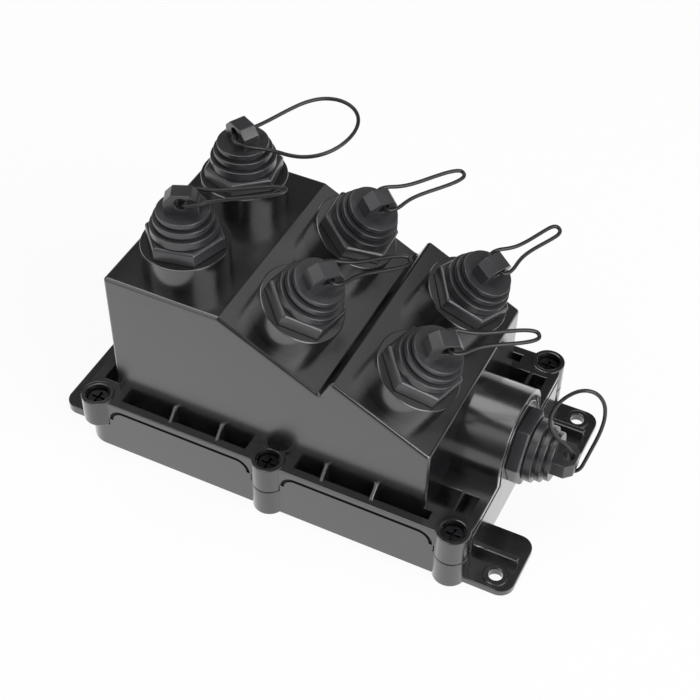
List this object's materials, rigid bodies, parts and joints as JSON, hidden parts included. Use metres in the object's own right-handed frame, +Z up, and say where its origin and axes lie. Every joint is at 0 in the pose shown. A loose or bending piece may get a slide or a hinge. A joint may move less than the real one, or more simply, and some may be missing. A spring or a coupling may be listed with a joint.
{
  "type": "multiport service terminal",
  "caption": "Black outdoor fibre terminal: stepped cover with capped hardened ports on a flanged base tray with mounting ears and an end inlet.",
  "frame": {"origin": "centre of the base tray's flat underside", "axes": "+X along the length from the tall end to the inlet, +Y across to the back column of ports, +Z up"},
  "size_m": [0.215, 0.1133, 0.1234],
  "materials": {
    "black_housing": "semi-gloss moulded black",
    "black_fitting": "satin moulded black",
    "black_rubber": "matt",
    "black_cord": "smooth drawn plastic",
    "dark_steel": "blackened",
    "grey_plastic": "plain moulded",
    "steel": "plain",
    "white_ceramic": "ground",
    "green_plastic": "plain moulded"
  },
  "bodies": {
    "housing": {"base_tray": "black_housing", "cover": "black_housing", "gasket": "black_rubber", "cover_screws": "dark_steel", "fibre_tray": "grey_plastic", "tray_screws": "dark_steel", "splitter_module": "steel", "adapter_upper_front": "black_fitting", "adapter_upper_back": "black_fitting", "adapter_middle_front": "black_fitting", "adapter_middle_back": "black_fitting", "adapter_lower_front": "black_fitting", "adapter_lower_back": "black_fitting", "adapter_inlet": "black_fitting", "adapter_seal_upper_front": "black_rubber", "adapter_seal_upper_back": "black_rubber", "adapter_seal_middle_front": "black_rubber", "adapter_seal_middle_back": "black_rubber", "adapter_seal_lower_front": "black_rubber", "adapter_seal_lower_back": "black_rubber", "adapter_seal_inlet": "black_rubber", "lock_nut_upper_front": "black_fitting", "lock_nut_upper_back": "black_fitting", "lock_nut_middle_front": "black_fitting", "lock_nut_middle_back": "black_fitting", "lock_nut_lower_front": "black_fitting", "lock_nut_lower_back": "black_fitting", "lock_nut_inlet": "black_fitting", "alignment_sleeves": "white_ceramic", "inner_connectors": "green_plastic"},
    "cap_upper_front": {"cap_upper_front": "black_fitting", "cap_seal_upper_front": "black_rubber", "tether_upper_front": "black_cord"},
    "cap_upper_back": {"cap_upper_back": "black_fitting", "cap_seal_upper_back": "black_rubber", "tether_upper_back": "black_cord"},
    "cap_middle_front": {"cap_middle_front": "black_fitting", "cap_seal_middle_front": "black_rubber", "tether_middle_front": "black_cord"},
    "cap_middle_back": {"cap_middle_back": "black_fitting", "cap_seal_middle_back": "black_rubber", "tether_middle_back": "black_cord"},
    "cap_lower_front": {"cap_lower_front": "black_fitting", "cap_seal_lower_front": "black_rubber", "tether_lower_front": "black_cord"},
    "cap_lower_back": {"cap_lower_back": "black_fitting", "cap_seal_lower_back": "black_rubber", "tether_lower_back": "black_cord"},
    "cap_inlet": {"cap_inlet": "black_fitting", "cap_seal_inlet": "black_rubber", "tether_inlet": "black_cord"}
  },
  "joints": [
    {"name": "cap_upper_front_off", "type": "slide", "parent": "housing", "child": "cap_upper_front", "axis": [0, 0, 1], "range_m": [0, 0.03]},
    {"name": "cap_upper_back_off", "type": "slide", "parent": "housing", "child": "cap_upper_back", "axis": [0, 0, 1], "range_m": [0, 0.03]},
    {"name": "cap_middle_front_off", "type": "slide", "parent": "housing", "child": "cap_middle_front", "axis": [0.454, 0, 0.891], "range_m": [0, 0.03]},
    {"name": "cap_middle_back_off", "type": "slide", "parent": "housing", "child": "cap_middle_back", "axis": [0.454, 0, 0.891], "range_m": [0, 0.03]},
    {"name": "cap_lower_front_off", "type": "slide", "parent": "housing", "child": "cap_lower_front", "axis": [0.454, 0, 0.891], "range_m": [0, 0.03]},
    {"name": "cap_lower_back_off", "type": "slide", "parent": "housing", "child": "cap_lower_back", "axis": [0.454, 0, 0.891], "range_m": [0, 0.03]},
    {"name": "cap_inlet_off", "type": "slide", "parent": "housing", "child": "cap_inlet", "axis": [1, 0, 0], "range_m": [0, 0.03]}
  ]
}
